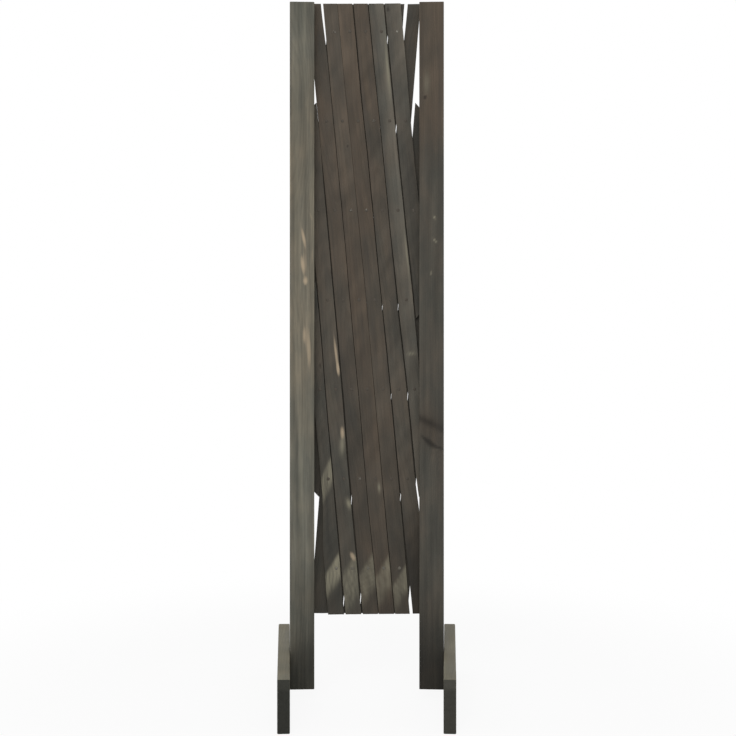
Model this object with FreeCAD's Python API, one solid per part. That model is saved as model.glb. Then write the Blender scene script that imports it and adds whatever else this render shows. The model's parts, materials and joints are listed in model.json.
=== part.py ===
import FreeCAD, Part
import math
import os

# A garden privacy screen of stained softwood: two posts stand on crosswise foot boards and
# carry a folding lattice behind them. The lattice is two layers of slats, the front layer
# leaning left and the rear layer leaning right, riveted together wherever they cross, and
# screwed to each post at one crossing of the middle row. It is drawn folded, as it is stored:
# the slats stand side by side, nearly upright, and drawing the posts apart leans them over.
#
# Millimetres. +X is to the right as seen from the front, +Y is towards the back, +Z is up.
# The origin lies on the ground, midway between the posts and at the middle of the feet.
# Each post and its foot are turned a little inwards at the front, on the one screw that holds
# them to the lattice, and the folded lattice hangs a little out of true, its top to the left.

# Lattice
slat_width = 27.0
slat_thickness = 8.0
slat_edge_round = 1.2
pivot_pitch = 168.0  # from one rivet to the next along a slat
folded_gap = 2.4  # between neighbouring slats of a layer, folded
open_lean = 45.0  # degrees that a slat leans from upright when the screen is drawn out
row_steps = 6  # steps from the top row of crossings to the bottom row
column_steps = 14  # steps from the left column of crossings to the right column
top_overhang = 53.0  # slat beyond its crossing in the top row
bottom_overhang = 86.0  # slat beyond its crossing in the bottom row
end_margin = 14.5  # wood between a crossing at a post and the mitred end beside it
lattice_rise = 2.0  # from the tops of the posts up to the tops of the slats
lattice_roll = 0.25  # degrees that the folded lattice hangs over to the left

# Rivets
rivet_radius = 1.5
rivet_head_radius = 3.0
rivet_head_height = 1.1
rivet_washer_radius = 3.8
rivet_washer_thickness = 0.8
rivet_tail_radius = 2.3
rivet_tail_height = 1.3

# Posts
post_width = 45.5
post_depth = 22.0
post_length = 1275.0
post_ground_clearance = 22.0
post_edge_round = 2.0
post_overlap = 5.5  # from a post's inner edge to the crossings that it covers

# Feet
foot_length = 390.0
foot_height = 94.0
foot_thickness = 22.0
foot_edge_round = 2.0
toe_in = 3.4  # degrees that a post and its foot are turned inwards at the front

# Pivot screws, which hold the lattice to the posts
pivot_screw_radius = 2.0
pivot_screw_bite = 15.0  # into the post
pivot_screw_head_radius = 4.2
pivot_screw_head_height = 2.6
pivot_washer_radius = 6.5
pivot_washer_thickness = 1.2

# Foot screws
foot_screw_radius = 2.0
foot_screw_bite = 28.0  # into the post
foot_screw_head_radius = 4.4
foot_screw_head_rim = 0.5
foot_screw_spacing = 40.0

# Details that both kinds of screw share
screw_tip_length = 4.0
recess_width = 1.1
recess_length = 4.4
recess_depth = 1.4

# Clearances
layer_gap = 0.4  # between the post, the front slats and the rear slats
pin_clearance = 0.1  # round a rivet or screw in a slat that turns on it
washer_clearance = 0.1  # between a turning slat and the washer behind it
screw_clearance = 0.25  # round a screw in a part that it only clamps

# Worked out from the sizes above
folded_lean = 0.5 * math.degrees(math.asin((slat_width + folded_gap) / pivot_pitch))
column_pitch = pivot_pitch * math.sin(math.radians(folded_lean))
row_pitch = pivot_pitch * math.cos(math.radians(folded_lean))
post_inner = column_steps / 2 * column_pitch - post_overlap
post_outer = post_inner + post_width
foot_middle = post_outer + foot_thickness / 2
post_back = (
    (foot_middle - post_inner) * math.sin(math.radians(toe_in))
    + post_depth / 2 * math.cos(math.radians(toe_in))
)  # where the rearmost edge of a post stands
front_slat_face = post_back + layer_gap
rear_slat_face = front_slat_face + slat_thickness + layer_gap
rear_washer_face = rear_slat_face + slat_thickness + washer_clearance
slat_top_reach = row_steps / 2 * pivot_pitch + top_overhang
slat_top_above_middle = slat_top_reach * math.cos(math.radians(folded_lean))
post_top = post_ground_clearance + post_length
middle_row_height = post_top + lattice_rise - slat_top_above_middle

# The two ways a slat leans, and the two sides a post stands on
LEFT = -1
RIGHT = 1

# A slat of the front layer leans left, and keeps column - row from crossing to crossing.
# One of the rear layer leans right, and keeps column + row. The corner slats, which would
# pass only one or two crossings, are left out of both layers.
front_lines = range(3 - row_steps, column_steps - 2, 2)
rear_lines = range(3, column_steps + row_steps - 2, 2)

origin = FreeCAD.Vector(0, 0, 0)
axis_x = FreeCAD.Vector(1, 0, 0)
axis_y = FreeCAD.Vector(0, 1, 0)
axis_z = FreeCAD.Vector(0, 0, 1)


# ---- The grid of crossings -----------------------------------------------------------------


def crossing_place(column, row):
    """Across and up, where the axis of a crossing stands."""
    right = (column - column_steps / 2) * column_pitch
    above = (row_steps / 2 - row) * row_pitch
    roll = math.radians(lattice_roll)
    across = right * math.cos(roll) - above * math.sin(roll)
    up = middle_row_height + right * math.sin(roll) + above * math.cos(roll)
    return across, up


def crossings_on(lean, line):
    """The (column, row) of each grid point that a slat passes over, from the top down."""
    points = []
    for row in range(row_steps + 1):
        column = line - lean * row
        if 0 <= column <= column_steps:
            points.append((column, row))
    return points


def is_crossing(column, row):
    """Whether a front slat and a rear slat both pass over this grid point."""
    return column - row in front_lines and column + row in rear_lines


def is_at_post(column):
    return column in (0, column_steps)


# ---- Slats ---------------------------------------------------------------------------------


def height_on_slat(row):
    """Height of a row along an upright slat whose zero lies in the middle row."""
    return (row_steps / 2 - row) * pivot_pitch


def end_reaches(is_outer_row, overhang):
    """How far a slat runs past its last crossing on the side it leans to and on the other.

    An end that stops at a post is mitred, so that it stands parallel to the post when the
    screen is drawn out. The ends above the top row and below the bottom row are trimmed
    level while the lattice is folded.
    """
    if is_outer_row:
        rise = slat_width / 2 * math.tan(math.radians(folded_lean))
        return overhang + rise, overhang - rise
    angle = math.radians(open_lean)
    slope_half = slat_width / 2 * math.cos(angle)
    near = (end_margin - slope_half) / math.sin(angle)
    far = (end_margin + slope_half) / math.sin(angle)
    return near, far


def upright_slat(lean, line):
    """A slat standing upright with its front face at Y = 0, its ends cut, not yet bored."""
    points = crossings_on(lean, line)
    top_row = points[0][1]
    bottom_row = points[-1][1]
    top = height_on_slat(top_row)
    bottom = height_on_slat(bottom_row)
    top_near, top_far = end_reaches(top_row == 0, top_overhang)
    bottom_near, bottom_far = end_reaches(bottom_row == row_steps, bottom_overhang)
    side = lean * slat_width / 2
    corners = [
        FreeCAD.Vector(side, 0, top + top_near),
        FreeCAD.Vector(-side, 0, top + top_far),
        FreeCAD.Vector(-side, 0, bottom - bottom_near),
        FreeCAD.Vector(side, 0, bottom - bottom_far),
    ]
    outline = Part.makePolygon(corners + corners[:1])
    board = Part.Face(outline).extrude(axis_y * slat_thickness)
    return with_round_edges(board, axis_z, slat_edge_round)


def with_round_edges(board, direction, radius):
    """A board with its straight edges along one direction rounded."""
    edges = [edge for edge in board.Edges if abs(edge.tangentAt(0).dot(direction)) > 0.999]
    return board.makeFillet(radius, edges)


def bore(radius, height):
    """The bore of one crossing, right through an upright slat."""
    return Part.makeCylinder(radius, slat_thickness, FreeCAD.Vector(0, 0, height), axis_y)


def bore_radius(lean, column):
    """A rivet is tight in the front slat. Every other pin has a slat turning on it."""
    if is_at_post(column):
        return pivot_screw_radius + pin_clearance
    if lean == RIGHT:
        return rivet_radius + pin_clearance
    return rivet_radius


def slat(lean, line):
    """One slat of the lattice in its folded place, bored for its rivets and pivot screw."""
    board = upright_slat(lean, line)
    for column, row in crossings_on(lean, line):
        if is_crossing(column, row):
            board = board.cut(bore(bore_radius(lean, column), height_on_slat(row)))
    board.rotate(origin, axis_y, lean * folded_lean - lattice_roll)
    middle_row = row_steps / 2
    across, up = crossing_place(line - lean * middle_row, middle_row)
    face = front_slat_face if lean == LEFT else rear_slat_face
    board.translate(FreeCAD.Vector(across, face, up))
    return board


# ---- Rivets --------------------------------------------------------------------------------


def cap(radius, height):
    """A shallow dome, flat on the plane Z = 0 and as high as given on the Z axis."""
    ball_radius = (radius * radius + height * height) / (2 * height)
    ball = Part.makeSphere(ball_radius, axis_z * (height - ball_radius))
    blank = Part.makeCylinder(radius, height)
    return ball.common(blank)


def rivet():
    """A rivet with its domed head at the front, and its tail peened over a washer behind.

    Its axis is the Z axis, the head faces -Z and the front slat's face is the plane Z = 0.
    """
    washer_face = rear_washer_face - front_slat_face
    tail_face = washer_face + rivet_washer_thickness
    shank = Part.makeCylinder(rivet_radius, tail_face)
    head = cap(rivet_head_radius, rivet_head_height)
    head.rotate(origin, axis_x, 180)
    washer = Part.makeCylinder(rivet_washer_radius, rivet_washer_thickness, axis_z * washer_face)
    tail = cap(rivet_tail_radius, rivet_tail_height)
    tail.translate(axis_z * tail_face)
    return shank.fuse([head, washer, tail]).removeSplitter()


def rivets_on(line):
    """The rivets that one front slat carries, at each of its crossings away from the posts."""
    rivets = []
    for column, row in crossings_on(LEFT, line):
        if not is_crossing(column, row) or is_at_post(column):
            continue
        across, up = crossing_place(column, row)
        piece = rivet()
        piece.rotate(origin, axis_x, -90)
        piece.translate(FreeCAD.Vector(across, front_slat_face, up))
        rivets.append(piece)
    return Part.makeCompound(rivets)


# ---- Screws --------------------------------------------------------------------------------


def turned(points):
    """A solid turned about the Z axis from the (radius, height) points of its outline."""
    corners = [FreeCAD.Vector(radius, 0, height) for radius, height in points]
    outline = Part.makePolygon(corners + corners[:1])
    return Part.Face(outline).revolve(origin, axis_z, 360)


def shank_points(radius, length):
    """The outline of a screw below its head, from the plane Z = 0 down to its point."""
    return [(radius, 0), (radius, screw_tip_length - length), (0, -length)]


def cross_recess(top):
    """The cross that a driver fits, sunk below a screw head's top."""
    corner = FreeCAD.Vector(-recess_length / 2, -recess_width / 2, top - recess_depth)
    bar = Part.makeBox(recess_length, recess_width, recess_depth, corner)
    other_bar = bar.copy()
    other_bar.rotate(origin, axis_z, 90)
    return bar.fuse(other_bar)


def pivot_screw_length():
    """From under the head of a pivot screw to its point in the post."""
    return pivot_washer_thickness + rear_washer_face - post_back + pivot_screw_bite


def pivot_screw_shank():
    """The shank of a pivot screw, from the plane Z = 0 down to its point."""
    return turned([(0, 0)] + shank_points(pivot_screw_radius, pivot_screw_length()))


def pivot_screw():
    """A pan head screw, its head standing on the plane Z = 0."""
    head = cap(pivot_screw_head_radius, pivot_screw_head_height)
    return pivot_screw_shank().fuse(head).cut(cross_recess(pivot_screw_head_height))


def pivot_washer():
    """The washer under the pan head, its back on the plane Z = 0."""
    base = axis_z * -pivot_washer_thickness
    disc = Part.makeCylinder(pivot_washer_radius, pivot_washer_thickness, base)
    hole_radius = pivot_screw_radius + screw_clearance
    hole = Part.makeCylinder(hole_radius, pivot_washer_thickness, base)
    return disc.cut(hole)


def at_pivot(piece, side):
    """Turns a piece of the pivot screw to face the back and sets it at its post's crossing."""
    column = 0 if side == LEFT else column_steps
    across, up = crossing_place(column, row_steps / 2)
    piece.rotate(origin, axis_x, -90)
    washer_back = rear_washer_face + pivot_washer_thickness
    piece.translate(FreeCAD.Vector(across, washer_back, up))
    return piece


def countersunk_head_points():
    """The outline of a countersunk head, its top on the plane Z = 0."""
    cone_depth = foot_screw_head_radius - foot_screw_radius
    return [
        (0, 0),
        (foot_screw_head_radius, 0),
        (foot_screw_head_radius, -foot_screw_head_rim),
        (foot_screw_radius, -foot_screw_head_rim - cone_depth),
    ]


def foot_screw_blank():
    """A countersunk screw without its recess, its head's top on the plane Z = 0."""
    length = foot_thickness + foot_screw_bite
    return turned(countersunk_head_points() + shank_points(foot_screw_radius, length)[1:])


def foot_screw():
    return foot_screw_blank().cut(cross_recess(0))


def foot_screw_passage():
    """What a countersunk screw needs cut through a foot: a seat for its head and a free hole."""
    head = turned(countersunk_head_points() + [(0, countersunk_head_points()[-1][1])])
    radius = foot_screw_radius + screw_clearance
    return head.fuse(Part.makeCylinder(radius, foot_thickness, axis_z * -foot_thickness))


def at_foot_screws(make_piece, side):
    """Copies of a piece set into the outer face of a foot, one at each of its screws."""
    joint_middle = (post_ground_clearance + foot_height) / 2
    pieces = []
    for step in (-0.5, 0.5):
        piece = make_piece()
        piece.rotate(origin, axis_y, side * 90)
        up = joint_middle + step * foot_screw_spacing
        piece.translate(FreeCAD.Vector(side * (post_outer + foot_thickness), 0, up))
        pieces.append(piece)
    return pieces


# ---- Posts and feet ------------------------------------------------------------------------


def turned_in(piece, side):
    """Turns a post, a foot or its screws inwards at the front, about the middle of the foot."""
    piece.rotate(FreeCAD.Vector(side * foot_middle, 0, 0), axis_z, -side * toe_in)
    return piece


def block(side, inner, width, depth, low, height):
    """A board standing square, its inner face at a distance from the middle of the screen."""
    near = inner if side == RIGHT else -inner - width
    return Part.makeBox(width, depth, height, FreeCAD.Vector(near, -depth / 2, low))


def post(side):
    """A post with pilot holes for its pivot screw at the back and for its foot's screws."""
    board = block(side, post_inner, post_width, post_depth, post_ground_clearance, post_length)
    board = with_round_edges(board, axis_z, post_edge_round)
    board = turned_in(board.cut(at_foot_screws(foot_screw_blank, side)), side)
    return board.cut(at_pivot(pivot_screw_shank(), side))


def foot(side):
    """A board on edge across the screen, screwed flat to the outer face of its post."""
    board = block(side, post_outer, foot_thickness, foot_length, 0, foot_height)
    board = with_round_edges(board, axis_y, foot_edge_round)
    return turned_in(board.cut(at_foot_screws(foot_screw_passage, side)), side)


# ---- The whole screen ----------------------------------------------------------------------


def screen():
    """Every piece of the screen by name."""
    pieces = {}
    for side, name in ((LEFT, "left"), (RIGHT, "right")):
        pieces[name + "_post"] = post(side)
        pieces[name + "_foot"] = foot(side)
        foot_screws = Part.makeCompound(at_foot_screws(foot_screw, side))
        pieces[name + "_foot_screws"] = turned_in(foot_screws, side)
        pieces[name + "_pivot_screw"] = at_pivot(pivot_screw(), side)
        pieces[name + "_pivot_washer"] = at_pivot(pivot_washer(), side)
    for number, line in enumerate(front_lines, 1):
        pieces["front_slat_%d" % number] = slat(LEFT, line)
        pieces["rivets_%d" % number] = rivets_on(line)
    for number, line in enumerate(rear_lines, 1):
        pieces["rear_slat_%d" % number] = slat(RIGHT, line)
    return pieces


os.makedirs("parts", exist_ok=True)
for name, shape in screen().items():
    shape.exportStep("parts/" + name + ".step")
    bounds = shape.BoundBox
    print(name, len(shape.Solids), "solid(s)", "valid" if shape.isValid() else "NOT VALID",
          "x %.1f..%.1f" % (bounds.XMin, bounds.XMax),
          "y %.1f..%.1f" % (bounds.YMin, bounds.YMax),
          "z %.1f..%.1f" % (bounds.ZMin, bounds.ZMax))
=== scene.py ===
import json

import bmesh
import bpy
import numpy as np
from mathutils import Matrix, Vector


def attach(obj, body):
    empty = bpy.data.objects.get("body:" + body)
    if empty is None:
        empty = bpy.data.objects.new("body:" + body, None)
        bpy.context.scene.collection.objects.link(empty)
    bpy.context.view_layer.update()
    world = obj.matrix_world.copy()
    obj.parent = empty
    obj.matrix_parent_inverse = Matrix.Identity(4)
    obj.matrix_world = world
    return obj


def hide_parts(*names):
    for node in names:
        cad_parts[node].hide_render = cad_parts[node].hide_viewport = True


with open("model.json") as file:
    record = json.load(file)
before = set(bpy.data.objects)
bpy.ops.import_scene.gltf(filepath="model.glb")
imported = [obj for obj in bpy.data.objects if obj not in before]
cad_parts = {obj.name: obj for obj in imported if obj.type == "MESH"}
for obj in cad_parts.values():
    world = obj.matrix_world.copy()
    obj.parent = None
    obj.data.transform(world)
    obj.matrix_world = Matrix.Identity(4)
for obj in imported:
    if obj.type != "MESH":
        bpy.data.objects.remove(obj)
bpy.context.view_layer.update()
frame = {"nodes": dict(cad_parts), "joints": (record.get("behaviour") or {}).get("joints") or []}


# ---- Posts ---------------------------------------------------------------------------------
# Two uprights of planed fir, dipped in a thin grey-brown stain. The stain sank in unevenly, so
# the left post stayed a pale grey-olive and the right one is dark and brown. Both are soft
# edged, sawn square at the ends and darker towards the bottom.

post_edge = 2.0  # millimetres, like every size below
post_step_across = 1.8
post_step_along = 3.5

to_right, to_back, upward = np.eye(3)


def facing(name, direction):
    """Which way the largest face of a CAD node points, of those that nearly point this way."""
    nearly = 0.9  # the cosine of 26 degrees
    faces = [face for face in frame["nodes"][name].data.polygons
             if face.normal.dot(Vector(direction)) > nearly]
    normal = np.array(max(faces, key=lambda face: face.area).normal, float)
    return normal / np.linalg.norm(normal)


def along_axes(name, axes):
    """How far the points of a CAD node lie along each of three axes, in millimetres."""
    mesh = frame["nodes"][name].data
    points = np.empty(len(mesh.vertices) * 3)
    mesh.vertices.foreach_get("co", points)
    return axes @ points.reshape(-1, 3).T * 1000


def cad_board(name, axes):
    """A CAD board as its own axes u, v and w, its middle line, width, depth and ends.

    Its length runs along w. Its left and right edges are flat, so their lowest and highest
    points are the corners of its ends.
    """
    slack = 0.01
    u, v, w = along_axes(name, axes)
    left, right = u < u.min() + slack, u > u.max() - slack
    return {
        "axes": axes, "width": np.ptp(u), "depth": np.ptp(v),
        "middle": (u.min() + u.max()) / 2 * axes[0] + (v.min() + v.max()) / 2 * axes[1],
        "low_end": (w[left].min(), w[right].min()),
        "high_end": (w[left].max(), w[right].max()),
    }


fine_steps = 26  # places across each fine stretch
fine_reach = 7.0  # how far it goes to each side


def with_fine_steps(places, middle, reach):
    """The places, with those near the middle replaced by close, even ones."""
    fine = np.linspace(middle - reach, middle + reach, fine_steps)
    return np.sort(np.append(places[np.abs(places - middle) > reach * 1.02], fine))


def board_grid(board, edge, step_across, step_along, arris=0.7, fine=()):
    """The skin of a board as a grid, along its length by round its section, in millimetres.

    Round the section, a point is its place on the rectangle of the four edge centres plus the
    edge radius times its outward direction. Along the board, rows are shares of the way from
    the low end to the high end, and each end is closed by rows that are drawn in, first on a
    quarter circle for the arris and then flat until the two broad faces meet. The height of
    an end changes evenly from the left edge to the right one, for a mitre. The steps are
    finer round each of the fine places (u, w).
    """
    width, depth = board["width"], board["depth"]
    low_end, high_end = board["low_end"], board["high_end"]

    def side(size):
        return np.linspace(-1, 1, max(3, round((size - 2 * edge) / step_across) + 1))

    across, through = side(width), side(depth)
    length = np.mean(high_end) - np.mean(low_end)
    share = np.linspace(0, 1, round(length / step_along) + 1)
    for fine_u, fine_w in fine:
        across = with_fine_steps(across, fine_u / (width / 2 - edge), fine_reach / width * 2)
        share = with_fine_steps(share, (fine_w - low_end[0]) / length, fine_reach / length)

    # once round the section: four sides and the quarter circles between them
    arc = np.linspace(0, np.pi / 2, 6)[1:-1]
    sides = [(across, -1 + 0 * across, -np.pi / 2), (1 + 0 * through, through, 0),
             (-across, 1 + 0 * across, np.pi / 2), (-1 + 0 * through, -through, np.pi)]
    centre_u, centre_v, direction = [], [], []
    for side_u, side_v, angle in sides:
        centre_u += [side_u, side_u[-1] + 0 * arc]
        centre_v += [side_v, side_v[-1] + 0 * arc]
        direction += [angle + 0 * side_u, angle + arc]
    centre_u, centre_v, direction = map(np.concatenate, (centre_u, centre_v, direction))
    out_u, out_v = np.cos(direction), np.sin(direction)

    # along the board: the rows of the low end, of its length and of the high end
    flat = np.linspace(depth / 2, arris, max(3, round(depth / 2 / step_across)))[:-1]
    turn = np.linspace(0, np.pi / 2, 4)
    end_in = np.concatenate([flat, arris * (1 - np.sin(turn))])
    end_lift = np.concatenate([0 * flat, arris * (1 - np.cos(turn))])
    share = share[1:-1]
    drawn_in = np.concatenate([end_in, 0 * share, end_in[::-1]])[:, None]
    lift = np.concatenate([end_lift, arris * (1 - 2 * share), -end_lift[::-1]])[:, None]
    share = np.concatenate([0 * end_lift, share, 1 + 0 * end_lift])[:, None]

    # each point, from its row and its place round the section
    round_left = np.maximum(edge - drawn_in, 0)
    u = centre_u * (width / 2 - drawn_in - round_left) + round_left * out_u
    v = centre_v * (depth / 2 - drawn_in - round_left) + round_left * out_v
    right = 0.5 + u / width
    low = low_end[0] + (low_end[1] - low_end[0]) * right
    high = high_end[0] + (high_end[1] - high_end[0]) * right
    w = low + (high - low) * share + lift
    full = np.ones_like(u)
    on_round = np.abs(np.sin(2 * direction)) > 1e-3
    return {
        "board": board, "u": u, "v": v, "w": w, "out_u": out_u * full, "out_v": out_v * full,
        "long": (drawn_in == 0) * full, "arris": on_round * full,
        "end": (drawn_in > arris / 2) * full,
    }


def waves(seed, a, a_length, b, b_length, count=9):
    """Smooth noise of about -1 to 1: a sum of sines of a and b, each with its own phase and
    with wavelengths spread about the two that are given."""
    rng = np.random.default_rng(seed)
    total = 0
    for _ in range(count):
        across, along, phase = rng.normal(), rng.normal(), rng.random()
        total = total + np.sin(2 * np.pi * (across * a / a_length + along * b / b_length + phase))
    return total / count ** 0.5


def smooth(low, high, x):
    """0 below low, 1 above high and an S curve between."""
    t = np.clip((x - low) / (high - low), 0, 1)
    return t * t * (3 - 2 * t)


def spot(grid, u, w, half_width, half_length, slant=0.0):
    """A soft mark on the board, 1 in its middle: a bell curve across times one along, its
    middle line leaning by the slant."""
    off = grid["u"] - u - slant * (grid["w"] - w)
    return np.exp(-(off / half_width) ** 2 - ((grid["w"] - w) / half_length) ** 2)


def spots(grid, marks):
    """Several spots, each (u, w, half width, half length, slant), added up."""
    return sum(spot(grid, *mark) for mark in marks)


def weather(grid, seed, knots=(), depth=0.12, dents=14):
    """Gives a board its growth rings and what years of use did to its skin.

    The rings are the distance from a pith line that wanders beside the board, and each knot
    (u, w, size) raises that distance in a bell, so the rings flow round it. The broad faces
    sink by up to the depth in long ripples, and dents are small bell-shaped dips in the edges.
    """
    rng = np.random.default_rng(seed)
    u, v, w = grid["u"], grid["v"], grid["w"]
    width, thickness = grid["board"]["width"], grid["board"]["depth"]

    # the rings, and the knots that push them aside
    pith_u = width * rng.uniform(-0.6, 0.6) + 5 * waves(seed, 0 * w, 1, w, 900, 3)
    pith_v = rng.choice([-1, 1]) * rng.uniform(14, 34) + 4 * waves(seed + 1, 0 * w, 1, w, 700, 3)
    rings = np.hypot(u - pith_u, v - pith_v) + 0.5 * waves(seed + 2, u, 25, w, 220)
    knot = 0 * u
    for knot_u, knot_w, size in knots:
        reach = np.hypot(u - knot_u, (w - knot_w) / 1.5) / size
        rings = rings + 2.2 * size * np.exp(-reach ** 2 / 2.5)
        knot = np.maximum(knot, 1 - smooth(0.55, 0.8, reach))

    # ripples in the broad faces, knocks on the edges and saw marks on the ends
    skin = depth * (0.5 - 0.5 * waves(seed + 3, u, 9, w, 260)) * np.abs(grid["out_v"])
    for _ in range(dents):
        dent_u = rng.choice([-1, 1]) * width / 2
        dent_v = rng.choice([-1, 1]) * thickness / 2
        dent_w = rng.uniform(w.min(), w.max())
        near = np.hypot(u - dent_u, v - dent_v) / rng.uniform(1.2, 2.6)
        bell = np.exp(-near ** 2 - ((w - dent_w) / rng.uniform(1.5, 9)) ** 2)
        skin = skin + rng.uniform(0.15, 0.6) * bell
    sink = np.clip(skin, 0, None) * grid["long"]
    grid["u"] = u - sink * grid["out_u"]
    grid["v"] = v - sink * grid["out_v"]
    grid["w"] = w + grid["end"] * 0.1 * waves(seed + 4, u, 4, v, 4) * (1 - grid["long"])

    grid["fibre"] = np.stack([u + 211 * seed, v, w], axis=-1)
    grid["rings"] = rings
    grid["knot"] = knot


def board_object(name, grid, looks):
    """Makes the grid a closed mesh in place, with the looks as point attributes."""
    places = np.stack([grid["u"], grid["v"], grid["w"]], axis=-1)
    points = (places @ grid["board"]["axes"] + grid["board"]["middle"]) / 1000
    rows, around = points.shape[:2]
    index = np.arange(rows * around).reshape(rows, around)
    ahead = np.roll(index, -1, axis=1)
    faces = np.stack([index[:-1], ahead[:-1], ahead[1:], index[1:]], axis=-1).reshape(-1, 4)
    mesh = bpy.data.meshes.new(name)
    mesh.vertices.add(rows * around)
    mesh.vertices.foreach_set("co", points.ravel())
    mesh.loops.add(faces.size)
    mesh.loops.foreach_set("vertex_index", faces.ravel())
    mesh.polygons.add(len(faces))
    mesh.polygons.foreach_set("loop_start", np.arange(0, faces.size, 4))
    mesh.update(calc_edges=True)
    fibre = mesh.attributes.new("fibre", "FLOAT_VECTOR", "POINT")
    fibre.data.foreach_set("vector", grid["fibre"].astype(np.float32).ravel())
    looks = dict(looks, **{look: grid[look] for look in ("rings", "knot", "arris", "end")})
    for look, values in looks.items():
        attribute = mesh.attributes.new(look, "FLOAT", "POINT")
        values = np.broadcast_to(values, grid["u"].shape)
        attribute.data.foreach_set("value", values.astype(np.float32).ravel())
    made = bpy.data.objects.new(name, mesh)
    bpy.context.scene.collection.objects.link(made)
    close_seams(mesh)
    mesh.shade_smooth()
    return made


def close_seams(mesh):
    """Joins the points that fall together where the faces of a board meet in its ends."""
    work = bmesh.new()
    work.from_mesh(mesh)
    bmesh.ops.remove_doubles(work, verts=work.verts, dist=1e-6)
    work.to_mesh(mesh)
    work.free()


def linear(colour):
    """An sRGB hex colour as the linear colour that shaders take."""
    parts = np.array([int(colour[i:i + 2], 16) for i in (1, 3, 5)]) / 255
    parts = np.where(parts <= 0.04045, parts / 12.92, ((parts + 0.055) / 1.055) ** 2.4)
    return (*parts, 1.0)


def add(tree, kind, inputs=(), **settings):
    """Adds a shader node with its settings, each input filled with a value or a socket."""
    made = tree.nodes.new("ShaderNode" + kind)
    for name, value in settings.items():
        setattr(made, name, value)
    for name, value in dict(inputs).items():
        if isinstance(value, bpy.types.NodeSocket):
            tree.links.new(value, made.inputs[name])
        else:
            made.inputs[name].default_value = value
    return made


ring_spacing = 3.1  # fast-grown fir
fibre_width = 1.1  # coarser than real fibres, so that they show
band_width = 7.5  # several rings that drank alike
blotch_width = 34.0  # where the stain pooled
fleck_width = 0.8  # the torn pores of a sawn end
raised_grain = 0.0003  # metres, as the bump takes it
thin_stain = "#aa9981"
rubbed_stain = "#878270"
knot_stain = "#2e2823"

# the share by which each pattern changes the brightness, between its two ends
band_swing = 0.4
blotch_swing = 0.38
fibre_swing = 0.19
latewood_change = -0.09
worn_arris_change = 0.4


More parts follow.
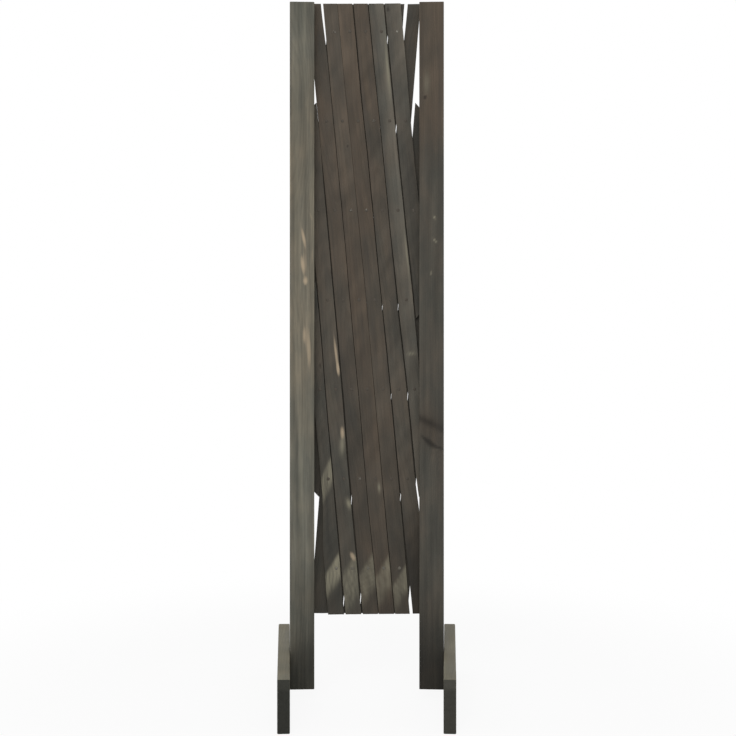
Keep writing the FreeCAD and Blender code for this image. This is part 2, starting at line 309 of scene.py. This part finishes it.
def stained_fir(name, grey, brown, contrast=1.0, end_grain="#35342f"):
    """Planed fir in a thin water stain: the earlywood drinks it and goes grey or brown, the
    hard latewood lines stay darker, and it is thin or rubbed where the board was handled.
    It is matt, with a faint raised grain.

    The point attributes say where: brown is the share of the brown colour, tone a factor on
    the brightness, thin and rubbed where the wood shows through, and knot, arris and end the
    parts of the board. Noise on the fibre coordinates, stretched along the grain, breaks
    them all up.
    """
    material = bpy.data.materials.new(name)
    material.use_nodes = True
    tree = material.node_tree
    shader = tree.nodes["Principled BSDF"]

    look = {}
    for attribute in ("brown", "tone", "thin", "rubbed", "rings", "knot", "arris", "end"):
        look[attribute] = add(tree, "Attribute", attribute_name=attribute).outputs["Fac"]
    place = add(tree, "Attribute", attribute_name="fibre").outputs["Vector"]

    def grain(width, stretch, detail, roughness=0.55):
        along = add(tree, "Mapping", {"Vector": place, "Scale": (1, 1, 1 / stretch)})
        noise = add(tree, "TexNoise", {"Vector": along.outputs["Vector"], "Scale": 1 / width,
                                       "Detail": detail, "Roughness": roughness})
        return noise.outputs["Fac"]

    fibres = grain(fibre_width, 45, 3)
    bands = grain(band_width, 26, 2)
    blotches = grain(blotch_width, 2.6, 4, 0.6)
    flecks = grain(fleck_width, 9, 1)

    # latewood: the dark line that ends each year's ring
    year = add(tree, "Math", {0: look["rings"], 1: ring_spacing}, operation="DIVIDE")
    year = add(tree, "Math", {0: year.outputs[0]}, operation="FRACT")
    rise = add(tree, "MapRange", {"Value": year.outputs[0], "From Min": 0.35, "From Max": 0.9},
               interpolation_type="SMOOTHSTEP")
    fall = add(tree, "MapRange", {"Value": year.outputs[0], "From Min": 1.0, "From Max": 0.9},
               interpolation_type="SMOOTHSTEP")
    latewood = add(tree, "Math", {0: rise.outputs[0], 1: fall.outputs[0]}, operation="MULTIPLY")
    latewood = latewood.outputs[0]

    # the stain: grey to brown, patchy
    lean = add(tree, "MapRange", {"Value": blotches, "From Min": 0.3, "From Max": 0.7,
                                  "To Min": -0.3, "To Max": 0.3})
    lean = add(tree, "Math", {0: look["brown"], 1: lean.outputs[0]}, operation="ADD",
               use_clamp=True)
    stain = add(tree, "Mix", {0: lean.outputs[0], 6: linear(grey), 7: linear(brown)},
                data_type="RGBA")
    colour = stain.outputs[2]

    # how bright: bands, blotches, fibres, latewood and worn arrises each change it
    bright = look["tone"]
    for source, swing in ((bands, band_swing), (blotches, blotch_swing), (fibres, fibre_swing)):
        factor = add(tree, "MapRange", {"Value": source, "From Min": 0.25, "From Max": 0.75,
                                        "To Min": 1 - swing * contrast / 2,
                                        "To Max": 1 + swing * contrast / 2}, clamp=False)
        bright = add(tree, "Math", {0: bright, 1: factor.outputs[0]}, operation="MULTIPLY")
        bright = bright.outputs[0]
    worn = add(tree, "MapRange", {"Value": bands, "From Min": 0.42, "From Max": 0.62})
    worn = add(tree, "Math", {0: worn.outputs[0], 1: look["arris"]}, operation="MULTIPLY")
    for source, change in ((latewood, latewood_change), (worn.outputs[0], worn_arris_change)):
        factor = add(tree, "Math", {0: source, 1: change * contrast, 2: 1.0},
                     operation="MULTIPLY_ADD")
        bright = add(tree, "Math", {0: bright, 1: factor.outputs[0]}, operation="MULTIPLY")
        bright = bright.outputs[0]
    colour = add(tree, "VectorMath", {0: colour, "Scale": bright}, operation="SCALE")
    colour = colour.outputs[0]

    # where the stain is rubbed it pales in soft streaks, where it is thin raw fibres show
    soft = add(tree, "MapRange", {"Value": bands, "From Min": 0.3, "From Max": 0.7,
                                  "To Min": 0.55, "To Max": 1.0})
    broken = add(tree, "Math", {0: look["thin"], 1: fibres}, operation="ADD")
    broken = add(tree, "MapRange", {"Value": broken.outputs[0], "From Min": 0.6,
                                    "From Max": 1.05}, interpolation_type="SMOOTHSTEP")
    for mark, shown, bare in (("rubbed", soft, rubbed_stain), ("thin", broken, thin_stain)):
        shows = add(tree, "Math", {0: shown.outputs[0], 1: look[mark]}, operation="MULTIPLY",
                    use_clamp=True)
        colour = add(tree, "Mix", {0: shows.outputs[0], 6: colour, 7: linear(bare)},
                     data_type="RGBA").outputs[2]

    # knots are dark, and sawn ends have their own flecked colour
    dark_core = add(tree, "Math", {0: look["knot"], 1: 0.75}, operation="MULTIPLY")
    colour = add(tree, "Mix", {0: dark_core.outputs[0], 6: colour, 7: linear(knot_stain)},
                 data_type="RGBA").outputs[2]
    sawn = add(tree, "MapRange", {"Value": flecks, "From Min": 0.3, "From Max": 0.7,
                                  "To Min": 0.75, "To Max": 1.3})
    sawn = add(tree, "Math", {0: sawn.outputs[0], 1: look["tone"]}, operation="MULTIPLY")
    sawn = add(tree, "VectorMath", {0: linear(end_grain)[:3], "Scale": sawn.outputs[0]},
               operation="SCALE")
    colour = add(tree, "Mix", {0: look["end"], 6: colour, 7: sawn.outputs[0]},
                 data_type="RGBA").outputs[2]
    tree.links.new(colour, shader.inputs["Base Color"])

    dull = add(tree, "MapRange", {"Value": bands, "From Min": 0.3, "From Max": 0.7,
                                  "To Min": 0.66, "To Max": 0.86})
    tree.links.new(dull.outputs[0], shader.inputs["Roughness"])
    shader.inputs["Specular IOR Level"].default_value = 0.28
    ridges = add(tree, "Math", {0: latewood, 1: 0.5, 2: fibres}, operation="MULTIPLY_ADD")
    raised = add(tree, "Bump", {"Height": ridges.outputs[0], "Strength": 0.6,
                                "Distance": raised_grain})
    tree.links.new(raised.outputs["Normal"], shader.inputs["Normal"])
    return material


def post_grid(side, seed, knots):
    """The weathered skin of a post. Its w is the height above the ground."""
    right = facing(side + "_post", to_right)
    board = cad_board(side + "_post", np.array([right, np.cross(upward, right), upward]))
    grid = board_grid(board, post_edge, post_step_across, post_step_along)
    weather(grid, seed, knots)
    return grid


def dress_post(side, grid, looks, material):
    """Puts the finished post in the place of the CAD one."""
    post = board_object(side + "_post_fir", grid, looks)
    post.data.materials.append(material)
    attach(post, side + "_frame")
    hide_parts(side + "_post")


# left post: pale, with streaks of raw wood where something scraped down it
grid = post_grid("left", 11, [])
u, w = grid["u"], grid["w"]  # w is the height above the ground
scraped = [(2.7, 860, 2.7, 17, -0.2), (1, 809, 3.4, 17, -0.13), (6, 779, 4, 7, 0)]
faint = [(16.5, 899, 2.2, 14, -0.4), (19, 824, 2.6, 24, 0), (6.5, 818, 4, 26, -0.1)]
faded = [(12, 655, 4.6, 44, -0.055), (4, 679, 3, 16, 0)]
# the post gets darker towards the bottom
darker_towards_ground = 0.35 + 0.3 * smooth(70, 150, w) + 0.35 * smooth(180, 290, w)
dark_top = 1 - 0.22 * smooth(1210, 1285, w)
dark_patch = 1 - 0.14 * spot(grid, 0, 520, 30, 60)
uneven = 1 + 0.12 * waves(12, u, 14, w, 700)
planer_lines = 1 + 0.05 * np.sin(u / 2.6) * smooth(1180, 1260, w)
looks = {
    "brown": 0.15 + 0.4 * smooth(1230, 1100, w) * smooth(520, 640, w),
    "tone": darker_towards_ground * dark_top * dark_patch * uneven * planer_lines,
    "thin": 1.1 * spots(grid, scraped) + 0.7 * spots(grid, faded) + 0.45 * spots(grid, faint),
    "rubbed": 0.35 * spot(grid, -10, 1000, 5, 260) + 0.3 * spot(grid, 4, 1210, 3, 110)
    + 0.25 * spot(grid, -2, 400, 4, 120),
}
dress_post("left", grid, looks, stained_fir("fir_stained_grey_olive", "#6a695f", "#716858", 1.25))

# right post: dark and brown, with the dark sweep of a knot low down and a few specks
grid = post_grid("right", 23, [(-12, 1120, 4)])
u, w = grid["u"], grid["w"]
specks = [(5.5, 897, 1.5, 2.6, -0.5), (6.5, 854, 1.6, 3.2, -0.9), (-1, 794, 1.2, 2.2, 0)]
# the sweep is a bowed band, and the wood round it is darker, with paler places on its sides
sweep_height = 477 - 0.62 * u + 0.0095 * u * u
sweep_half = 2.2 + 5 * np.exp(-((u + 3) / 9) ** 2)
sweep = np.exp(-(np.abs(w - sweep_height) / sweep_half) ** 3) * smooth(-23, -14, u)
shade_above = np.exp(-((w - 515 + 0.46 * u) / 8) ** 2) * (0.6 + 0.4 * smooth(20, -10, u))
paler = spot(grid, 17, 496, 9, 6) + spot(grid, -17, 478, 5, 14)
darker = spot(grid, 0, 508, 40, 40)
# the post gets darker towards the bottom
darker_towards_ground = 0.45 + 0.55 * smooth(60, 250, w)
darker_above = 1 - 0.08 * smooth(500, 600, w)
uneven = 1 + 0.08 * waves(24, u, 14, w, 400)
round_knot = 1 - 0.52 * sweep - 0.4 * shade_above + 0.1 * paler - 0.3 * darker
looks = {
    "brown": 0.15 + 0.7 * smooth(960, 1090, w) + 0.4 * spot(grid, 0, 500, 40, 40),
    "tone": darker_towards_ground * darker_above * uneven * round_knot,
    "thin": 0,
    "rubbed": 0.35 * spot(grid, -9, 1146, 6, 20) + 1.3 * spots(grid, specks),
}
grid["rings"] = grid["rings"] + 9 * np.exp(-((w - sweep_height) / 26) ** 2) * smooth(-30, 20, u)
dress_post("right", grid, looks, stained_fir("fir_stained_dark_brown", "#4a4841", "#544a3f"))


# ---- Feet ----------------------------------------------------------------------------------
# Two boards of the same fir on edge, crosswise under the posts and screwed flat to their outer
# sides. The top edges are rubbed pale and also carry a painted highlight from above, as does the
# top band of each sawn end; the sawn ends drank the stain and are nearly black.

foot_edge = 2.0
foot_step_across = 2.4
foot_step_along = 3.2
seat_radius = 4.9  # of the crushed wood round a countersunk screw
seat_rim = 0.9  # the width of its sloping edge
seat_depth = 1.1

end_grain = {"left": "#2b2b26", "right": "#393832"}

for name, side, seed in (("left", -1, 37), ("right", 1, 41)):
    right = facing(name + "_foot", to_right)
    axes = np.array([upward, right, np.cross(upward, right)])
    board = cad_board(name + "_foot", axes)
    middle_u = board["middle"] @ axes[0]
    middle_w = np.mean(board["low_end"] + board["high_end"])
    screws = along_axes(name + "_foot_screws", axes)
    head_radius = np.ptp(screws[2]) / 2
    seats = [(screws[0].min() + head_radius - middle_u, middle_w),
             (screws[0].max() - head_radius - middle_u, middle_w)]
    grid = board_grid(board, foot_edge, foot_step_across, foot_step_along, fine=seats)
    u, w = grid["u"].copy(), grid["w"].copy()
    knots = [(18, middle_w + 95, 5), (-22, middle_w - 120, 4)]
    weather(grid, seed, knots, dents=20)
    outer = grid["out_v"] * side > 0.99  # the broad face that looks away from the post
    for seat_u, seat_w in seats:
        off = np.hypot(u - seat_u, w - seat_w)
        crushed = 1 - smooth(seat_radius - seat_rim, seat_radius, off)
        grid["v"] -= side * outer * seat_depth * crushed
    top = smooth(board["width"] / 2 - foot_edge, board["width"] / 2, u)
    # the top face is painted lighter than the sides, as light from above would make it, besides
    # the real rubbing given below
    skin_tone_lit_on_top = 0.62 + 0.5 * top + 0.2 * top * waves(seed + 5, w, 100, u, 900, 4)
    # a band along the top of each sawn end is painted lighter too, as light from above would make
    # it
    end_tone_lit_at_top = 1 + 0.5 * smooth(24, 34, u)
    looks = {
        "brown": 0.3 + 0.2 * waves(seed, w, 160, u, 900, 4),
        "tone": skin_tone_lit_on_top + (end_tone_lit_at_top - skin_tone_lit_on_top) * grid["end"],
        "thin": 0,
        "rubbed": 0.5 * top,
    }
    foot = board_object(name + "_foot_fir", grid, looks)
    foot.data.materials.append(stained_fir("fir_stained_olive_" + name, "#6d6b60", "#6c6453",
                                           1.2, end_grain[name]))
    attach(foot, name + "_frame")
    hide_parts(name + "_foot")


# ---- Slats ---------------------------------------------------------------------------------
# Sixteen thin battens of planed fir in two layers, the front ones leaning left and the rear
# ones right. Each took the stain in its own way, brown or grey, and none is quite straight,
# so the gaps between them differ. Below, the crossing slats kept the stain off in patches.

slat_edge = 0.8
slat_arris = 0.35
slat_step_across = 1.6
slat_step_along = 4.0
slats_in_layer = 8

pivots = {joint["name"]: np.array(joint["pos_m"]) * 1000 for joint in frame["joints"]}
middle_row = 3
middle_height = (pivots["fold"][2] + pivots["right_frame_pivot"][2]) / 2
row_height = (middle_height - pivots["rear_slat_4_pivot"][2]) / middle_row


def row_at(board, w):
    """Which row of rivets a place on a slat is level with: 0 is the top one, 6 the bottom."""
    return middle_row - (board["middle"][2] + w * board["axes"][2][2] - middle_height) / row_height


def height_of(board, row):
    """The w of a row of rivets on a slat, the other way round from row_at."""
    above_middle = (middle_row - row) * row_height + middle_height - board["middle"][2]
    return above_middle / board["axes"][2][2]


def along(values, row):
    """Blends smoothly between values that are given for some rows."""
    places = sorted(values)
    total = values[places[0]] + 0 * row
    for near, far in zip(places, places[1:]):
        total = total + (values[far] - values[near]) * smooth(near, far, row)
    return total


# the gap on the right of each slat, in millimetres by row
front_gaps = {
    1: {3: 1.8, 4: 1.3, 5: 2.0, 6: 2.8},
    2: {1.3: 0.3, 1.8: 2.0, 6: 2.8},
    3: {-0.3: 4.0, 0.4: 0.8, 6: 0.9},
    4: {0: 0.2, 3: 0.4, 5: 0.9, 6: 1.2},
    5: {-0.3: 2.2, 1: 1.4, 3: 1.6, 5.6: 2.2, 6.5: 5.6},
    6: {0: 1.6, 1: 0.9, 2: 1.2, 3: 2.2, 6: 2.8},
    7: {0: 2.4, 3: 2.4},
}
rear_gaps = {
    4: {0: 1.2, 0.3: 0.02, 4.7: 0.02, 5.1: 1.2, 5.45: 0.02, 5.6: 0.02, 6: 1.3},
    5: {-0.3: 6.2, 0.6: 0.02, 0.8: 0.02, 1.1: 1.2, 1.4: 0.02, 2.7: 0.02, 3: 0.7, 3.3: 0.02,
        5.6: 0.02, 6: 1.2},
    6: {1: 5.0, 1.8: 0.02, 2.7: 0.02, 3: 0.8, 3.3: 0.02, 3.7: 0.02, 4: 0.7, 4.3: 0.02},
    7: {3.7: 0.02, 4: 1.2, 4.3: 0.02, 4.7: 0.02, 5.15: 1.1, 5.5: 0.02},
}
closed_gap = {0: 0.02}
all_zero = {0: 0}

# how far the middle of each of those gaps has moved to the right, in millimetres by row, since
# no slat is quite straight; 0 stands for the left edge of the first slat, 8 for the last edge
front_shifts = {
    0: {5.1: 0, 5.9: -8.5, 6.4: -10}, 1: {3: -2.8, 4.5: -5.3, 5.6: -5.8, 6.4: -7.0},
    2: {1: -1, 2.4: -1.2, 3: -2, 3.9: -2.3, 5: -4.6, 6: -4.4},
    3: {-0.3: -3.2, 0.4: -1.9, 2.2: -1.4, 3: -2.2, 4: -2.3, 5.2: -3.8, 6: -2.8},
    4: {0: -3.8, 0.8: -4, 1.4: -2.4, 3: -1.2, 4: -1.8, 6: -2.2},
    5: {0: -4.4, 0.8: -4.6, 1.4: -3, 2.4: -2.6, 4: -0.7},
    6: {0: -5.2, 1.4: -3.7, 2: -3.4, 3: -1.8, 4: 0.8, 4.9: 1.4, 5.45: 4},
    7: {0: -4.8, 1.4: -3.9, 2: -3.1, 3: -1}, 8: {-0.2: -2.4, 1.3: -3.6, 3: 0},
}
rear_shifts = {
    0: {0: 0, 1: -2.5, 2: 0}, 1: {0: 0, 1: -1.3, 2: 0}, 2: {4.6: 0, 6: 1.3}, 3: {4: 0, 6: 2},
    4: {0: -2.1, 4: 0, 5: 2.4, 6: 4}, 5: {0.5: -2.3, 0.9: -1.4, 3: 0.8, 5: 3.5, 6: 5.8},
    6: {0: -2, 0.9: -1.5, 1.8: 0, 3: 0.9, 4: 2, 6: 5.5}, 7: {3.3: 0, 4: 3.5, 5: 5.8, 6: 6.5},
    8: {4.2: 0, 5: 4, 6: 9},
}

# how each front slat took the stain, by row: its share of brown, its tone, and how much
# paler it is towards its right edge. The low tone at the foot of slat 6, beside the right
# post, is painted shade of the post.
front_brown = {
    1: {3: 0.25, 6: 0.15}, 2: {1: 0.5, 4: 0.45, 5: 0.1, 6: 0.2},
    3: {0: 0.6, 1.5: 0.85, 3: 0.7, 4.4: 0.4, 6: 0.6}, 4: {0: 0.6, 1.5: 0.8, 3: 0.8, 6: 0.8},
    5: {0: 0.95, 2: 0.9, 3: 0.5, 4.5: 0.7, 6: 0.5}, 6: {0: 0.85, 1.5: 0.65, 3: 0.4, 4.5: 0.5},
    7: {0: 0.2, 3: 0.25}, 8: {0: 0.2, 3: 0.25},
}
front_tone = {
    1: {3: 0.95, 4.4: 1.0, 5.5: 0.84, 6.3: 0.75},
    2: {1: 0.9, 3: 1.08, 4.1: 1.08, 4.6: 1.0, 5.6: 0.84, 6: 0.88},
    3: {0: 0.85, 1.4: 1.02, 2.2: 0.9, 3: 1.0, 3.8: 0.83, 4.5: 0.7, 6: 0.75},
    4: {0: 1.05, 1.4: 1.1, 2.2: 0.86, 4.4: 0.87, 5.1: 1.02, 5.7: 0.9, 6.3: 0.72},
    5: {0: 1.05, 1.4: 0.88, 2.2: 0.95, 3: 0.85, 4.4: 0.98, 5.7: 0.76},
    # slat 6 falls to 0.5 at its lower end, beside the right post: painted shade of the post
    6: {0: 0.92, 0.8: 0.85, 2.2: 0.9, 3: 0.84, 3.9: 1.05, 5.1: 1.02, 6: 0.5},
    7: {0: 1.42, 1.5: 1.32, 3: 1.38, 4: 1.28},
    8: {0: 1.3, 0.7: 1.18, 1.5: 0.88, 3: 0.78},
}
front_tilt = {5: {0: -0.1, 1: 0}, 7: {0: 0.3, 3: 0.25, 4: 0}, 8: {0: 0.2, 1: -0.1, 3: 0}}
rear_brown = {0: 0.35, 6: 0.25}
# the rear slats are a little darker than the front ones: painted shade of the front layer and the
# posts in front of them
rear_tone_shaded = {0: 0.86, 3: 0.8, 5: 0.78, 6: 0.9}

# where a crossing slat kept the stain off a front slat: row, how pale, how far it reaches up
ghosts = {
    1: [(4.98, 1.1, 18), (6.05, 1.35, 18)], 2: [(6.13, 0.75, 30)], 3: [(6.09, 0.64, 24)],
    4: [(6.11, 0.66, 23)], 5: [(6.19, 0.74, 19)],
}
ghost_slope = 1.4  # millimetres up for one to the right
ghost_tail = 1.5  # it reaches this many times as far down

# scrapes down to the wood and small rubbed spots: row, across, half width, half length, slant
scrapes = {2: [(3.6, 9.3, 2.3, 30, -0.035), (3.78, 10.5, 2.6, 11, 0), (4.49, 9, 3.2, 12, 0),
               (5.87, 8, 4.2, 9, -0.3)]}
rubbed_spots = {
    2: [(4.62, 6.5, 4.5, 18, 0.12), (5.28, 9.8, 4.5, 9, -0.2)],
    4: [(5.1, 7.2, 2.2, 8, 0)],
    7: [(3.6, 1.2, 7.5, 2.4, 0), (0.43, 9.8, 2.8, 42, 0), (2.5, 10.8, 1.4, 40, 0)],
}

slat_material = stained_fir("fir_stained_grey_brown", "#4c4a43", "#544a3f", end_grain="#2b2a26")


def slat_grid(name, seed, gaps, shifts, number):
    """The weathered skin of a slat, its rows, and how far each point is then moved sideways.

    Each edge moves to where the gap beside it leaves it, and the points between by their share.
    """
    right = facing(name, to_right)
    board = cad_board(name, np.array([right, to_back, np.cross(right, to_back)]))
    grid = board_grid(board, slat_edge, slat_step_across, slat_step_along, slat_arris)
    row = row_at(board, grid["w"])
    share = 0.5 + grid["u"] / board["width"]
    rng = np.random.default_rng(seed)
    knots = [(rng.uniform(-9, 9), rng.uniform(*np.sort(grid["w"][[0, -1], 0])),
              rng.uniform(2.2, 4.5)) for _ in range(rng.integers(0, 3))]
    weather(grid, seed, knots, depth=0.08, dents=9)
    left_edge = along(shifts.get(number - 1, all_zero), row)
    right_edge = along(shifts.get(number, all_zero), row)
    if number > 1:
        left_edge -= (cad_gap - along(gaps.get(number - 1, closed_gap), row)) / 2
    if number < slats_in_layer:
        right_edge += (cad_gap - along(gaps.get(number, closed_gap), row)) / 2
    return grid, row, left_edge * (1 - share) + right_edge * share


def slat_spots(grid, marks):
    """Spots on a slat, each (row, u, half width, half length, slant), added up."""
    return spots(grid, [(across, height_of(grid["board"], place), wide, long, slant)
                        for place, across, wide, long, slant in marks])


def dress_slat(name, grid, looks):
    """Puts the finished slat in the place of the CAD one."""
    slat = board_object(name + "_fir", grid, looks)
    slat.data.materials.append(slat_material)
    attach(slat, name)
    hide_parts(name)


def slat_line(name, right):
    """How far to the right of the origin the middle line of a slat runs."""
    return cad_board(name, np.array([right, to_back, np.cross(right, to_back)]))["middle"] @ right


front_right = facing("front_slat_1", to_right)
slat_spacing = slat_line("front_slat_2", front_right) - slat_line("front_slat_1", front_right)
cad_gap = slat_spacing - np.ptp(along_axes("front_slat_1", np.array([front_right] * 3))[0])

for number in range(1, slats_in_layer + 1):
    name = "front_slat_%d" % number
    seed = 7 * number
    grid, row, moved = slat_grid(name, seed, front_gaps, front_shifts, number)
    u, w = grid["u"], grid["w"]
    to_side = np.clip(u / (grid["board"]["width"] / 2), -1, 1)

    rubbed = slat_spots(grid, rubbed_spots.get(number, []))
    for place, pale, reach in ghosts.get(number, []):
        off = (w - height_of(grid["board"], place) - ghost_slope * u) / reach
        edge = np.where(off > 0, off ** 6, (off / ghost_tail) ** 4)
        mottled = 0.8 + 0.22 * waves(seed + 8, u, 9, w, 26) + 0.012 * u
        rubbed = rubbed + pale * np.exp(-edge) * mottled
    # faint darker and paler stretches, with edges that lie along the crossing slats
    uneven = 1 + 0.07 * waves(seed + 7, w - ghost_slope * u, 70, 0 * w, 1, 4)
    tilted = 1 + along(front_tilt.get(number, all_zero), row) * to_side
    looks = {
        "brown": along(front_brown[number], row),
        "tone": along(front_tone[number], row) * uneven * tilted,
        "thin": slat_spots(grid, scrapes.get(number, [])),
        "rubbed": rubbed,
    }
    grid["u"] = u + moved
    dress_slat(name, grid, looks)

for number in range(1, slats_in_layer + 1):
    name = "rear_slat_%d" % number
    seed = 100 + 7 * number
    grid, row, moved = slat_grid(name, seed, rear_gaps, rear_shifts, number)
    grid["u"] += moved
    looks = {"brown": along(rear_brown, row), "tone": along(rear_tone_shaded, row), "thin": 0,
             "rubbed": 0}
    dress_slat(name, grid, looks)


# ---- Rivets --------------------------------------------------------------------------------
# Soft steel rivets with domed heads at the front and tails peened over washers at the back.
# They were dipped with the wood, so nearly all are under the same stain and a few are worn
# bright. In the lowest row, where the slats kept the stain off each other, it is thin.

patches_per_metre = 9.0  # so that whole rivets are worn or not
scratches_per_metre = 700.0  # one in 1.4 millimetres
thin_below = 0.28  # metres above the ground
stained_above = 0.34

rivet_finish = bpy.data.materials.new("mild_steel_stained_over")
rivet_finish.use_nodes = True
tree = rivet_finish.node_tree
shader = tree.nodes["Principled BSDF"]
place = add(tree, "TexCoord").outputs["Object"]
patches = add(tree, "TexNoise", {"Vector": place, "Scale": patches_per_metre, "Detail": 1.0})
scratches = add(tree, "TexNoise", {"Vector": place, "Scale": scratches_per_metre,
                                   "Detail": 2.0})
worn = add(tree, "Math", {0: scratches.outputs["Fac"], 1: 0.35, 2: patches.outputs["Fac"]},
           operation="MULTIPLY_ADD")
worn = add(tree, "MapRange", {"Value": worn.outputs[0], "From Min": 0.79, "From Max": 0.86},
           interpolation_type="SMOOTHSTEP")
height = add(tree, "SeparateXYZ", {0: place}).outputs["Z"]
thinner = add(tree, "MapRange", {"Value": height, "From Min": stained_above,
                                 "From Max": thin_below})
cover = add(tree, "Mix", {0: thinner.outputs[0], 6: linear("#4f4941"), 7: linear("#67635a")},
            data_type="RGBA")
colour = add(tree, "Mix", {0: worn.outputs[0], 6: cover.outputs[2], 7: linear("#99968c")},
             data_type="RGBA")
metal = add(tree, "Math", {0: worn.outputs[0], 1: 0.85}, operation="MULTIPLY")
dull = add(tree, "MapRange", {"Value": worn.outputs[0], "To Min": 0.8, "To Max": 0.4})
tree.links.new(colour.outputs[2], shader.inputs["Base Color"])
tree.links.new(metal.outputs[0], shader.inputs["Metallic"])
tree.links.new(dull.outputs[0], shader.inputs["Roughness"])
shader.inputs["Specular IOR Level"].default_value = 0.3


def dress(node_name, material):
    """Gives a CAD node a new finish."""
    mesh = frame["nodes"][node_name].data
    mesh.materials.clear()
    mesh.materials.append(material)


for number in range(1, slats_in_layer + 1):
    dress("rivets_%d" % number, rivet_finish)


# ---- Screws --------------------------------------------------------------------------------
# Zinc plated screws: a pan head on a washer holds the lattice to each post from behind, and
# two countersunk ones hold each foot. The zinc is dull and a little blotched.

bloom_per_metre = 420.0  # blotches of about 2.4 millimetres

zinc = bpy.data.materials.new("zinc_plated_steel")
zinc.use_nodes = True
tree = zinc.node_tree
shader = tree.nodes["Principled BSDF"]
place = add(tree, "TexCoord").outputs["Object"]
bloom = add(tree, "TexNoise", {"Vector": place, "Scale": bloom_per_metre, "Detail": 4.0})
tone = add(tree, "MapRange", {"Value": bloom.outputs["Fac"], "From Min": 0.35,
                              "From Max": 0.65})
colour = add(tree, "Mix", {0: tone.outputs[0], 6: linear("#8f9088"), 7: linear("#b9b8b0")},
             data_type="RGBA")
dull = add(tree, "MapRange", {"Value": bloom.outputs["Fac"], "From Min": 0.35,
                              "From Max": 0.65, "To Min": 0.5, "To Max": 0.3})
tree.links.new(colour.outputs[2], shader.inputs["Base Color"])
tree.links.new(dull.outputs[0], shader.inputs["Roughness"])
shader.inputs["Metallic"].default_value = 1.0
for side in ("left", "right"):
    for piece in ("_foot_screws", "_pivot_screw", "_pivot_washer"):
        dress(side + piece, zinc)


# ---- Studio --------------------------------------------------------------------------------
# A pale floor and a white surround, one wide soft lamp above the front and a fill from the
# world, at a level where a colour looks as it is written.

camera_distance = 2.511  # metres in front of the middle of the screen
camera_height = 0.757
camera_right = 0.0022  # to the right of the middle
focal_pixels = 1350.0
frame_pixels = 736.0
horizon_row = 293.0
sensor_width = 36.0

camera_data = bpy.data.cameras.new("camera")
camera_data.sensor_width = sensor_width
camera_data.lens = focal_pixels / frame_pixels * sensor_width
camera_data.shift_y = (horizon_row - frame_pixels / 2) / frame_pixels
camera_data.clip_end = 50.0
camera = bpy.data.objects.new("camera", camera_data)
camera.location = (camera_right, -camera_distance, camera_height)
camera.rotation_euler = (np.pi / 2, 0, 0)
bpy.context.scene.collection.objects.link(camera)
bpy.context.scene.camera = camera

lamp_place = (-0.6, -4.4, 3.6)  # metres
lamp_aim = (0, 0, 0.8)
lamp_width = 3.0
lamp_height = 2.0
lamp_watts = 100.0

lamp_data = bpy.data.lights.new("soft_lamp", "AREA")
lamp_data.shape = "RECTANGLE"
lamp_data.size = lamp_width
lamp_data.size_y = lamp_height
lamp_data.energy = lamp_watts
lamp = bpy.data.objects.new("soft_lamp", lamp_data)
lamp.location = lamp_place
aim = Vector(lamp_aim) - lamp.location
lamp.rotation_euler = aim.to_track_quat("-Z", "Y").to_euler()
bpy.context.scene.collection.objects.link(lamp)

surround_fill = 0.55  # what the white surround gives to matt surfaces

world = bpy.data.worlds.new("surround")
bpy.context.scene.world = world
world.use_nodes = True
tree = world.node_tree
tree.nodes.clear()
path = add(tree, "LightPath")
seen = add(tree, "Math", {0: path.outputs["Is Camera Ray"], 1: path.outputs["Is Glossy Ray"]},
           operation="MAXIMUM")
seen = add(tree, "Math", {0: seen.outputs[0], 1: path.outputs["Is Transmission Ray"]},
           operation="MAXIMUM")
strength = add(tree, "MapRange", {"Value": seen.outputs[0], "To Min": surround_fill,
                                  "To Max": 1.0})
surround = add(tree, "Background", {"Color": linear("#ffffff"), "Strength": strength.outputs[0]})
add(tree, "OutputWorld", {"Surface": surround.outputs[0]})

# the floor is matt near the screen, for its shadow, and fades into the white surround
floor_size = 30.0  # metres
floor_white = 0.91  # how much of what the camera sees near the screen is already white
fade_start = 0.5  # metres from the middle of the feet
fade_end = 1.2
floor_mesh = bpy.data.meshes.new("floor")
corner = floor_size / 2
floor_mesh.from_pydata([(-corner, -corner, 0), (corner, -corner, 0), (corner, corner, 0),
                        (-corner, corner, 0)], [], [(0, 1, 2, 3)])
floor = bpy.data.objects.new("floor", floor_mesh)
bpy.context.scene.collection.objects.link(floor)
pale = bpy.data.materials.new("pale_floor")
pale.use_nodes = True
tree = pale.node_tree
tree.nodes.clear()
path = add(tree, "LightPath")
place = add(tree, "TexCoord")
away = add(tree, "VectorMath", {0: place.outputs["Object"]}, operation="LENGTH")
fade = add(tree, "MapRange", {"Value": away.outputs["Value"], "From Min": fade_start,
                              "From Max": fade_end, "To Min": floor_white, "To Max": 1.0},
           interpolation_type="SMOOTHSTEP")
matt = add(tree, "BsdfDiffuse", {"Color": linear("#f3f3f3")})
white = add(tree, "Emission", {"Color": linear("#ffffff"), "Strength": 1.0})
share = add(tree, "Math", {0: path.outputs["Is Camera Ray"], 1: fade.outputs[0]},
            operation="MULTIPLY")
both = add(tree, "MixShader", {0: share.outputs[0], 1: matt.outputs[0], 2: white.outputs[0]})
add(tree, "OutputMaterial", {"Surface": both.outputs[0]})
floor_mesh.materials.append(pale)

bpy.context.scene.view_settings.view_transform = "Standard"
